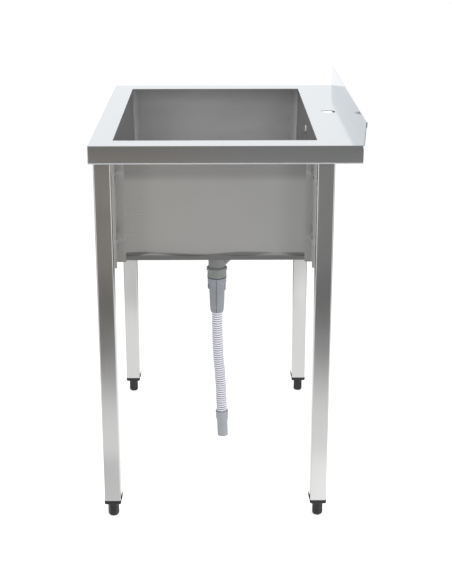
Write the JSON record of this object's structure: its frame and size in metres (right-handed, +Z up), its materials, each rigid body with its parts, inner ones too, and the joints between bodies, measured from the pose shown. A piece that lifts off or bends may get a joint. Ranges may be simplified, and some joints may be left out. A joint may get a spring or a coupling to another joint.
{
  "type": "utility laundry sink",
  "caption": "Free-standing stainless utility sink: folded worktop with upstand, deep bowl, basket waste, overflow, hanging drain hose, square legs on screw feet.",
  "frame": {"origin": "on the floor, under the middle of the worktop's outline", "axes": "+Z up, +X along the worktop to the right as its user sees it, +Y to the back, where the upstand is; the user stands at -Y"},
  "size_m": [0.8, 0.6, 0.9505],
  "materials": {
    "polished_steel_sheet": "fine satin, almost mirror-like at a low angle",
    "satin_steel_bowl": "satin sheet, folded and welded, with polished bands along the welds",
    "brushed_steel_tube": "brushed along its length",
    "brushed_steel_bracket": "mill finish",
    "bright_fasteners": "stainless, turned",
    "zinc_inserts": "zinc plated",
    "black_nylon": "moulded, satin",
    "black_rubber": "matt",
    "strainer_steel": "pressed and polished",
    "dark_knob": "moulded, satin",
    "grey_plastic": "moulded polypropylene, blue-grey",
    "green_grey_plastic": "moulded polypropylene, green-grey",
    "dark_rubber_seal": "matt",
    "translucent_hose": "milky, corrugated",
    "cuff_plastic": "soft moulded"
  },
  "bodies": {
    "sink": {"worktop": "polished_steel_sheet", "rear_apron": "polished_steel_sheet", "bowl": "satin_steel_bowl", "leg_front_right": "brushed_steel_tube", "leg_front_left": "brushed_steel_tube", "leg_rear_right": "brushed_steel_tube", "leg_rear_left": "brushed_steel_tube", "leg_bracket_front_right": "brushed_steel_bracket", "leg_bracket_front_left": "brushed_steel_bracket", "leg_bracket_rear_right": "brushed_steel_bracket", "leg_bracket_rear_left": "brushed_steel_bracket", "leg_bolts": "bright_fasteners", "leg_washers": "bright_fasteners", "leg_rivet_nuts": "zinc_inserts", "leg_cap_front_right": "black_nylon", "leg_cap_front_left": "black_nylon", "leg_cap_rear_right": "black_nylon", "leg_cap_rear_left": "black_nylon", "cap_nuts": "zinc_inserts", "strainer_seal": "black_rubber", "strainer_flange": "strainer_steel", "strainer_screw": "bright_fasteners", "waste_gasket": "black_rubber", "waste_body": "grey_plastic", "waste_tail": "grey_plastic", "waste_inlet": "grey_plastic", "union_nut": "green_grey_plastic", "union_seal": "dark_rubber_seal", "hose_adapter": "grey_plastic", "drain_hose": "translucent_hose", "hose_cuff": "cuff_plastic", "overflow_rosette": "strainer_steel", "overflow_screw": "bright_fasteners", "overflow_gasket": "black_rubber", "overflow_elbow": "grey_plastic", "overflow_pipe": "grey_plastic", "overflow_pipe_nuts": "grey_plastic"},
    "front_right_foot": {"foot_front_right": "black_nylon", "foot_stud_front_right": "zinc_inserts"},
    "front_left_foot": {"foot_front_left": "black_nylon", "foot_stud_front_left": "zinc_inserts"},
    "rear_right_foot": {"foot_rear_right": "black_nylon", "foot_stud_rear_right": "zinc_inserts"},
    "rear_left_foot": {"foot_rear_left": "black_nylon", "foot_stud_rear_left": "zinc_inserts"},
    "basket": {"strainer_basket": "strainer_steel", "basket_knob": "dark_knob"}
  },
  "joints": [
    {"name": "front_right_foot_screw", "type": "slide", "parent": "sink", "child": "front_right_foot", "axis": [0, 0, -1], "range_m": [0, 0.025]},
    {"name": "front_left_foot_screw", "type": "slide", "parent": "sink", "child": "front_left_foot", "axis": [0, 0, -1], "range_m": [0, 0.025]},
    {"name": "rear_right_foot_screw", "type": "slide", "parent": "sink", "child": "rear_right_foot", "axis": [0, 0, -1], "range_m": [0, 0.025]},
    {"name": "rear_left_foot_screw", "type": "slide", "parent": "sink", "child": "rear_left_foot", "axis": [0, 0, -1], "range_m": [0, 0.025]},
    {"name": "basket_lift", "type": "slide", "parent": "sink", "child": "basket", "axis": [0, 0, 1], "range_m": [0, 0.06]}
  ]
}
